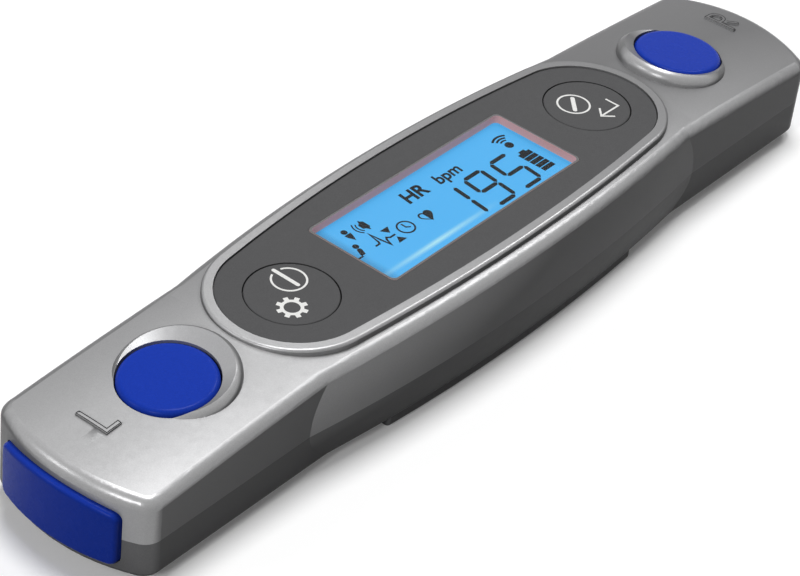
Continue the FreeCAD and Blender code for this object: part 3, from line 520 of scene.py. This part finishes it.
def capsule(first, second, width, count=9):
    a, b = Vector(first), Vector(second)
    turn = math.degrees(math.atan2(b.y - a.y, b.x - a.x))
    far = arcPoints(b, width / 2, turn - 90, turn + 90, count)
    return far + arcPoints(a, width / 2, turn + 90, turn + 270, count)


# Outlines into pieces

weldReach = 0.0000001


def intoScene(name, data):
    made = bpy.data.objects.new(name, data)
    bpy.context.scene.collection.objects.link(made)
    return made


def meshOf(outline, name):
    # mesh of a curve or text object, which is then taken away
    bpy.context.view_layer.update()
    shape = outline.evaluated_get(bpy.context.evaluated_depsgraph_get())
    mesh = bpy.data.meshes.new_from_object(shape)
    mesh.transform(outline.matrix_world)
    mesh.name = name
    curve = outline.data
    bpy.data.objects.remove(outline)
    bpy.data.curves.remove(curve)
    return mesh


def pressShape(name, loops, low, high, arch=0):
    # loops are closed outlines, and one inside another is a hole; arch is the radius the print is laid over
    curve = bpy.data.curves.new(name, "CURVE")
    curve.dimensions = "2D"
    curve.fill_mode = "BOTH"
    curve.extrude = (high - low) / 2 * mm
    for loop in loops:
        spline = curve.splines.new("POLY")
        spline.points.add(len(loop) - 1)
        for spot, (x, y) in zip(spline.points, loop):
            spot.co = (x * mm, y * mm, 0, 1)
        spline.use_cyclic_u = True
    mesh = meshOf(intoScene(name + "_outline", curve), name)
    work = bmesh.new()
    work.from_mesh(mesh)
    bmesh.ops.remove_doubles(work, verts=work.verts, dist=weldReach)
    for vert in work.verts:
        sag = vert.co.x ** 2 / (2 * arch * mm) if arch else 0
        vert.co.z += (low + high) / 2 * mm - sag
    work.to_mesh(mesh)
    work.free()
    return intoScene(name, mesh)


inkLook = {
    "light": written(236, 236, 234),
    "dark": written(216, 216, 214),
    "specular": 0.15,
    "smooth": 0.55,
    "rough": 0.7,
    "specklesPerMetre": 7000,
    "speckleRelief": 0.000006,
}


def inkAndPaintedShade(name, look):
    finish, tree, shader = newFinish(name)
    speckle = noise(tree, objectPoint(tree), look["specklesPerMetre"])
    tone = blendColour(tree, spread(tree, speckle, 0, 1), look["dark"], look["light"])
    plug(tree, shader.inputs["Base Color"], tone)
    plug(tree, shader.inputs["Roughness"], spread(tree, speckle, look["smooth"], look["rough"]))
    plug(tree, shader.inputs["Specular IOR Level"], look["specular"])
    raiseBump(tree, shader, (speckle, look["speckleRelief"]))
    return finish


white = inkAndPaintedShade("whiteInk", inkLook)
black = inkAndPaintedShade("segmentInk", dict(inkLook, light=written(12, 13, 17), dark=written(5, 6, 9)))
# painted shade for the dark line round the raised hand marks
shade = inkAndPaintedShade("edgeShade", dict(inkLook, light=written(44, 44, 45), dark=written(34, 34, 35)))


def finishPiece(piece, body, finish):
    piece.data.materials.clear()
    piece.data.materials.append(finish)
    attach(piece, body)


# Prints on the two keys, in mm

keyPrints = {
    "surface": 21.7,
    "sink": 0.02,
    "thickness": 0.03,
    "arch": 2000,
    "stroke": 0.36,
    "power": {
        "centre": (-37.6, 2.75),
        "radius": 2.95,
        "gap": 20,  # degrees left open on each side of the bar
        "bar": ((-37.6, 6.1), (-37.6, 0.8)),
        "barWidth": 0.72,
    },
    "gear": {
        "centre": (-42.65, -2.4),
        "teeth": 8,
        "tip": 2.68,
        "root": 1.98,
        "hole": 1.38,
        "holePoints": 40,
        "tipShare": 0.4,  # of half the pitch
        "rootShare": 0.55,
    },
    "stop": {
        "centre": (38.5, 1.9),
        "radius": 2.95,
        "bar": ((37.15, 0.55), (39.9, 3.2)),
        "barWidth": 0.8,
    },
    "enter": {
        "shaft": ((44.4, -0.95), (44.4, -3.8), (39.6, -3.8)),
        "head": ((41.1, -2.05), (39.25, -3.8), (41.1, -5.55)),
    },
}


def gearOutline(look):
    x, y = look["centre"]
    pitch = 360 / look["teeth"]
    tip, root = (look["tipShare"], look["tip"]), (look["rootShare"], look["root"])
    outline = []
    for tooth in range(look["teeth"]):
        middle = (tooth + 0.5) * pitch
        for way, (share, radius) in ((-1, root), (-1, tip), (1, tip), (1, root)):
            angle = math.radians(middle + way * share * pitch / 2)
            outline.append((x + radius * math.cos(angle), y + radius * math.sin(angle)))
    return outline


def printKeys(look):
    power, gear, stop, enter = (look[key] for key in ("power", "gear", "stop", "enter"))
    stroke, gap = look["stroke"], power["gap"]
    prints = (
        ("power_print", "power_key", [
            ringBand(power["centre"], power["radius"], stroke, 90 + gap, 450 - gap),
            capsule(*power["bar"], power["barWidth"]),
        ]),
        ("gear_print", "power_key", [
            gearOutline(gear),
            circle(gear["centre"], gear["hole"], gear["holePoints"]),
        ]),
        ("stop_print", "enter_key", [
            circle(stop["centre"], stop["radius"] + stroke / 2),
            circle(stop["centre"], stop["radius"] - stroke / 2),
            capsule(*stop["bar"], stop["barWidth"]),
        ]),
        ("enter_print", "enter_key", [band(enter["shaft"], stroke)]),
        ("enter_print_head", "enter_key", [band(enter["head"], stroke)]),
    )
    low, high = look["surface"] - look["sink"], look["surface"] + look["thickness"]
    for name, body, loops in prints:
        finishPiece(pressShape(name, loops, low, high, look["arch"]), body, white)


printKeys(keyPrints)
print("key prints done")

# Painted shade: a fine dark line along the edges of the raised hand marks, where their edges are in shade, in
# mm

markEdgeShade = {
    "line": 0.17,
    "inset": 0.05,
    "above": 0.02,
    "step": 0.4,
    "arcPoints": 20,
    "base": -1.7,
    "height": 6.8,
    "stroke": 0.9,
    "left": {"from": -83.9, "width": 3.3},
    "right": {"from": 85.2, "width": 3.4, "bowl": 1.85, "legTop": (0.33, 2.78), "legFoot": (1.85, 0.97)},
}
dropFrom = 50  # well above the case


def lowerOnto(piece, carrier, above):
    # drops a flat shape on the surface below it
    bpy.context.view_layer.update()
    for vert in piece.data.vertices:
        start = Vector((vert.co.x, vert.co.y, dropFrom * mm))
        found, place, _, _ = carrier.ray_cast(start, Vector((0, 0, -1)))
        if found:
            vert.co.z = place.z + above * mm


def stepped(points, step):
    # the same path with a point at least every step, so that it can follow a curved surface
    path = [tuple(points[0])]
    for near, far in zip(points, points[1:]):
        count = max(1, math.ceil(math.dist(near, far) / step))
        path += [tuple(Vector(near).lerp(Vector(far), i / count)) for i in range(1, count + 1)]
    return path


def leftEdges(look, half):
    start, base, stroke = look["left"]["from"], look["base"], look["stroke"]
    outer, inner, end = start + half, start + stroke - half, start + look["left"]["width"] - half
    foot, ledge, head = base + half, base + stroke - half, base + look["height"] - half
    path = [(inner, head), (outer, head), (outer, foot), (end, foot), (end, ledge),
            (inner, ledge), (inner, head)]
    return [path]


def rightEdges(look, half):
    right, base, stroke = look["right"], look["base"], look["stroke"]
    top, bowl = base + look["height"], right["bowl"]
    waist = top - 2 * bowl
    outer, inner = right["from"] + half, right["from"] + stroke - half
    centre = (right["from"] + right["width"] - bowl, top - bowl)
    outside = arcPoints(centre, bowl - half, 90, -90, look["arcPoints"])
    inside = arcPoints(centre, bowl - stroke + half, 90, -90, look["arcPoints"])
    outline = [(centre[0], waist + half), (inner, waist + half), (inner, base + half), (outer, base + half),
               (outer, top - half), *outside]
    opening = [(inner, waist + stroke - half), (inner, top - stroke + half), *inside,
               (inner, waist + stroke - half)]
    # the leg is a band along its middle line, open at the top where it meets the bowl
    legTop, legFoot = (Vector((centre[0] + x, base + y)) for x, y in (right["legTop"], right["legFoot"]))
    way = (legFoot - legTop).normalized()
    side = Vector((way.y, -way.x)) * (stroke / 2 - half)
    end = legFoot - way * half
    return [outline, opening, [legTop + side, end + side, end - side, legTop - side]]


def paintEdgeShade(look):
    half = look["line"] / 2 + look["inset"]
    edges = {"left_mark_edge": leftEdges(look, half), "right_mark_edge": rightEdges(look, half)}
    for name, paths in edges.items():
        loops = [band(stepped(path, look["step"]), look["line"]) for path in paths]
        piece = pressShape(name, loops, 0, 0)
        lowerOnto(piece, nodes["top_shell"], look["above"])
        finishPiece(piece, "case", shade)


paintEdgeShade(markEdgeShade)
print("mark edges done")

# Figures on the display, in mm

display = {
    "low": 19.456,
    "high": 19.49,
    "slant": 0.115,
    "digitTop": 2.55,
    "digitBottom": -7.0,
    "digitWidth": 5.45,
    "stroke": 0.86,
    "gap": 0.12,
    "digits": ((-1.6, "1"), (5.9, "9"), (13.2, "5")),
}
segmentsOf = {"1": "bc", "9": "abcdfg", "5": "acdfg"}


def segment(first, second, half, gap):
    # one segment with pointed ends, along its middle line
    start, end = Vector(first), Vector(second)
    way = (end - start).normalized()
    side = Vector((-way.y, way.x)) * half
    start, end = start + way * gap, end - way * gap
    return [start, start + way * half + side, end - way * half + side, end,
            end - way * half - side, start + way * half - side]


def digitLoops(left, shown, look):
    # seven-segment figure, drawn upright and then slanted; left is its lower left corner
    height, width, half = look["digitTop"] - look["digitBottom"], look["digitWidth"], look["stroke"] / 2
    x0, x1 = half, width - half
    y0, y1, y2 = half, height / 2, height - half
    places = {
        "a": ((x0, y2), (x1, y2)),
        "b": ((x1, y2), (x1, y1)),
        "c": ((x1, y1), (x1, y0)),
        "d": ((x0, y0), (x1, y0)),
        "f": ((x0, y1), (x0, y2)),
        "g": ((x0, y1), (x1, y1)),
    }
    bars = [segment(*places[key], half, look["gap"]) for key in shown]
    return [[(left + p.x + p.y * look["slant"], look["digitBottom"] + p.y) for p in bar] for bar in bars]


# Signs on the display, each by its own measures in mm

signs = {
    "battery": {
        "left": 20.4,
        "right": 23.4,
        "foot": -0.9,
        "shoulder": 0.25,
        "capFrom": 21.15,
        "capTo": 22.65,
        "top": 0.85,
        "bars": 4,
        "firstBar": -1.06,
        "barPitch": 1.24,
        "barHeight": 1.04,
    },
    "waves": {
        "hub": (21.9, 3.4),
        "dot": 0.86,
        "dotPoints": 32,
        "arcs": ((1.5, 0.34, 30), (2.2, 0.4, 33), (2.95, 0.44, 36)),  # radius, width, half angle
        "arcPoints": 24,
    },
    "standing": {
        "head": (-19.3, 6.5),
        "headRadius": 0.62,
        "headPoints": 28,
        "body": ((-20.05, 5.75), (-18.55, 5.75), (-18.75, 5.0), (-19.35, 3.75), (-19.95, 5.0)),
    },
    "seated": {
        "head": (-20.85, 2.6),
        "headRadius": 0.6,
        "headPoints": 28,
        "back": ((-21.1, 1.5), (-21.55, 0.35)),
        "backWidth": 0.95,
        "legs": ((-21.9, 0.02), (-23.3, 0.02), (-23.9, -1.75)),
        "legWidth": 0.34,
    },
    "sound": {
        "horn": ((-16.1, 4.95), (-16.1, 6.15), (-15.65, 6.35), (-15.25, 7.05), (-15.1, 7.05), (-15.1, 6.75),
                 (-14.6, 6.35), (-14.6, 4.75), (-15.1, 4.35), (-15.1, 4.05), (-15.25, 4.05), (-15.65, 4.75)),
        "centre": (-15.3, 5.55),
        "arcs": ((1.45, 0.24, 132, 228), (2.1, 0.26, 136, 224)),  # radius, width, start, stop
        "arcPoints": 24,
    },
    "pulse": {
        "trace": ((-18.3, 0.35), (-17.3, 0.35), (-17.05, 0.75), (-16.6, 3.3), (-16.3, 0.9), (-15.95, -1.05),
                  (-15.5, 0.3), (-15.1, 0.75), (-14.6, 0.3), (-13.3, 0.3)),
        "width": 0.38,
    },
    "arrows": {
        "down": ((-14.6, 2.6), (-12.6, 2.6), (-13.6, 1.15)),
        "up": ((-14.6, -1.75), (-13.6, -0.3), (-12.6, -1.75)),
    },
    "clock": {
        "centre": (-10.4, 0.35),
        "outside": 1.75,
        "inside": 1.42,
        "points": 48,
        "hands": ((-10.4, 1.45), (-10.4, 0.35), (-9.7, -0.15)),
        "handWidth": 0.3,
    },
    "heart": {
        "centre": (-5.25, 0.08),
        "across": 0.094,
        "along": 0.108,
        "points": 48,
        "waist": 16,
        "waves": (13, -4, -1.6, -0.6),
        "hollow": (-5.45, 0.02),
        "hollowAcross": 0.66,
        "hollowAlong": 0.72,
    },
}


def batteryLoops(look):
    left, right = look["left"], look["right"]
    loops = [[(left, look["foot"]), (left, look["shoulder"]), (look["capFrom"], look["shoulder"]),
              (look["capFrom"], look["top"]), (look["capTo"], look["top"]), (look["capTo"], look["shoulder"]),
              (right, look["shoulder"]), (right, look["foot"])]]
    for step in range(look["bars"]):
        top = look["firstBar"] - step * look["barPitch"]
        foot = top - look["barHeight"]
        loops.append([(left, foot), (left, top), (right, top), (right, foot)])
    return loops


def waveLoops(look):
    hub, count = look["hub"], look["arcPoints"]
    arcs = [ringBand(hub, radius, width, 90 - half, 90 + half, count) for radius, width, half in look["arcs"]]
    return [circle(hub, look["dot"], look["dotPoints"]), *arcs]


def heartLoops(look):
    # right half full, left half a rim round a hollow
    middle, level = look["centre"]
    heart = []
    for step in range(look["points"]):
        turn = math.pi * 2 * step / look["points"]
        across = look["waist"] * math.sin(turn) ** 3
        along = sum(height * math.cos(turn * (i + 1)) for i, height in enumerate(look["waves"]))
        heart.append((middle + look["across"] * across, level + look["along"] * along))
    x0, y0 = look["hollow"]
    hollow = [(x0 + (x - middle) * look["hollowAcross"], y0 + y * look["hollowAlong"])
              for x, y in heart if x <= middle]
    return [heart, hollow]


def signLoops(look):
    standing, seated, sound = look["standing"], look["seated"], look["sound"]
    arrows, clock = look["arrows"], look["clock"]
    return {
        "battery_level": batteryLoops(look["battery"]),
        "wireless_waves": waveLoops(look["waves"]),
        "standing_sign": [
            circle(standing["head"], standing["headRadius"], standing["headPoints"]),
            standing["body"],
        ],
        "seated_sign": [
            circle(seated["head"], seated["headRadius"], seated["headPoints"]),
            capsule(*seated["back"], seated["backWidth"]),
            band(seated["legs"], seated["legWidth"]),
        ],
        "sound_sign": [
            sound["horn"],
            *(ringBand(sound["centre"], *arc, sound["arcPoints"]) for arc in sound["arcs"]),
        ],
        "pulse_trace": [band(look["pulse"]["trace"], look["pulse"]["width"])],
        "level_arrows": [arrows["down"], arrows["up"]],
        "clock_sign": [
            circle(clock["centre"], clock["outside"], clock["points"]),
            circle(clock["centre"], clock["inside"], clock["points"]),
            band(clock["hands"], clock["handWidth"]),
        ],
        "heart_sign": heartLoops(look["heart"]),
    }


figures = {"rate_digits": []}
for left, figure in display["digits"]:
    figures["rate_digits"] += digitLoops(left, segmentsOf[figure], display)
figures.update(signLoops(signs))
for name, loops in figures.items():
    finishPiece(pressShape(name, loops, display["low"], display["high"]), "case", black)
print("display figures done")

words = {
    "rate_name": {"text": "HR", "at": (-4.95, 4.15), "size": 4.2, "slant": 0.12, "thick": 0.13},
    "rate_unit": {"text": "bpm", "at": (3.45, 4.15), "size": 3.65, "slant": 0.12, "thick": 0.08},
}


def writeWord(name, look, low, high):
    # generic name or unit beside the figures
    curve = bpy.data.curves.new(name, "FONT")
    curve.body = look["text"]
    curve.size = look["size"] * mm
    curve.shear = look["slant"]
    curve.offset = look["thick"] * mm
    curve.extrude = (high - low) / 2 * mm
    outline = intoScene(name + "_outline", curve)
    outline.location = (look["at"][0] * mm, look["at"][1] * mm, (low + high) / 2 * mm)
    finishPiece(intoScene(name, meshOf(outline, name)), "case", black)


for name, look in words.items():
    writeWord(name, look, display["low"], display["high"])
print("display words done")

# Stage: a pale floor and a soft sky

stage = {
    "floorReach": 4.0,
    "floorDrop": 0.00005,  # keeps the floor clear of the rest face
    "floorColour": (0.93, 0.93, 0.93),
    "floorBounce": (0.1, 0.1, 0.1),  # what the floor gives back to the object
    "floorRoughness": 0.9,
    "floorGlow": 0.1,
    "farGlow": 0.85,  # the lamps fade towards the far floor, so its glow rises there
    "glowFrom": 0.15,
    "glowTo": 1.0,
    "skyStrength": 0.06,
}


def seenAsBackground(tree):
    # 1 for rays that meet the background straight on, in a mirror or through glass
    path = addNode(tree, "ShaderNodeLightPath")
    plain = combine(tree, "MAXIMUM", path.outputs["Is Camera Ray"], path.outputs["Is Glossy Ray"])
    return combine(tree, "MAXIMUM", plain, path.outputs["Is Transmission Ray"])


def layFloor(look):
    finish, tree, shader = newFinish("paleFloor")
    seen = seenAsBackground(tree)
    away = addNode(tree, "ShaderNodeVectorMath", operation="LENGTH")
    plug(tree, away.inputs[0], objectPoint(tree))
    reach = look["glowFrom"], look["glowTo"]
    glow = spread(tree, away.outputs["Value"], look["floorGlow"], look["farGlow"], *reach)
    tone = blendColour(tree, seen, look["floorBounce"], look["floorColour"])
    plug(tree, shader.inputs["Base Color"], tone)
    plug(tree, shader.inputs["Roughness"], look["floorRoughness"])
    plug(tree, shader.inputs["Emission Color"], (1, 1, 1))
    plug(tree, shader.inputs["Emission Strength"], combine(tree, "MULTIPLY", seen, glow))
    mesh = bpy.data.meshes.new("floor")
    side = look["floorReach"]
    corners = [(-side, -side, 0), (side, -side, 0), (side, side, 0), (-side, side, 0)]
    mesh.from_pydata(corners, [], [(0, 1, 2, 3)])
    mesh.materials.append(finish)
    floor = intoScene("floor", mesh)
    floor.location.z = -look["floorDrop"]


def openSky(look):
    world = bpy.data.worlds.new("studio")
    bpy.context.scene.world = world
    world.use_nodes = True
    tree = world.node_tree
    background = tree.nodes["Background"]
    strength = spread(tree, seenAsBackground(tree), look["skyStrength"], 1, 0, 1)
    plug(tree, background.inputs["Color"], (1, 1, 1))
    plug(tree, background.inputs["Strength"], strength)


layFloor(stage)
openSky(stage)
print("floor and sky done")

# Lamps, soft discs with places and sizes in metres and power in watts

lamps = {
    "topLamp": {"at": (0.12, 0.09, 0.9), "aim": (0, 0, 0), "size": 0.34, "power": 5.2},
    "rightLamp": {"at": (0.56, 0.02, 0.68), "aim": (0, 0, 0), "size": 0.3, "power": 1.8},
    "glanceLamp": {"at": (0.42, 0.372, 0.528), "aim": (-0.05, 0, 0), "size": 0.1, "power": 0.16},
    "sideLamp": {"at": (-0.62, 0.4, 0.46), "aim": (-0.08, 0, 0), "size": 0.25, "power": 1.0},
    "cornerLamp": {"at": (-0.6, -0.1, 0.35), "aim": (-0.08, 0, 0), "size": 0.12, "power": 1.2},
}


def hangLamp(name, look):
    lamp = bpy.data.lights.new(name, "AREA")
    lamp.shape = "DISK"
    lamp.size = look["size"]
    lamp.energy = look["power"]
    holder = intoScene(name, lamp)
    holder.location = look["at"]
    way = Vector(look["aim"]) - Vector(look["at"])
    holder.rotation_euler = way.to_track_quat("-Z", "Y").to_euler()


for name, look in lamps.items():
    hangLamp(name, look)
print("lamps done")

# Camera, by its direction from the target in degrees

view = {
    "azimuth": -54.4,
    "elevation": 37.4,
    "roll": 6.89,
    "distance": 0.4524,
    "target": (-0.02676, -0.01165, 0.022),
    "focalPixels": 2792.0,
    "widthPixels": 800,
    "sensorWidth": 36,
    "clipStart": 0.01,
}


def placeCamera(look):
    azimuth, elevation, roll = (math.radians(look[key]) for key in ("azimuth", "elevation", "roll"))
    level = math.cos(elevation)
    back = Vector((math.sin(azimuth) * level, -math.cos(azimuth) * level, math.sin(elevation)))
    right = Vector((math.cos(azimuth), math.sin(azimuth), 0))
    up = back.cross(right)
    rolledRight = right * math.cos(roll) + up * math.sin(roll)
    rolledUp = up * math.cos(roll) - right * math.sin(roll)
    data = bpy.data.cameras.new("camera")
    data.sensor_width = look["sensorWidth"]
    data.lens = look["focalPixels"] / look["widthPixels"] * data.sensor_width
    data.clip_start = look["clipStart"]
    camera = intoScene("camera", data)
    place = Vector(look["target"]) + back * look["distance"]
    turn = Matrix((rolledRight, rolledUp, back)).transposed()
    camera.matrix_world = Matrix.Translation(place) @ turn.to_4x4()
    return camera


bpy.context.scene.camera = placeCamera(view)
bpy.context.scene.view_settings.view_transform = "Standard"
print("camera done")
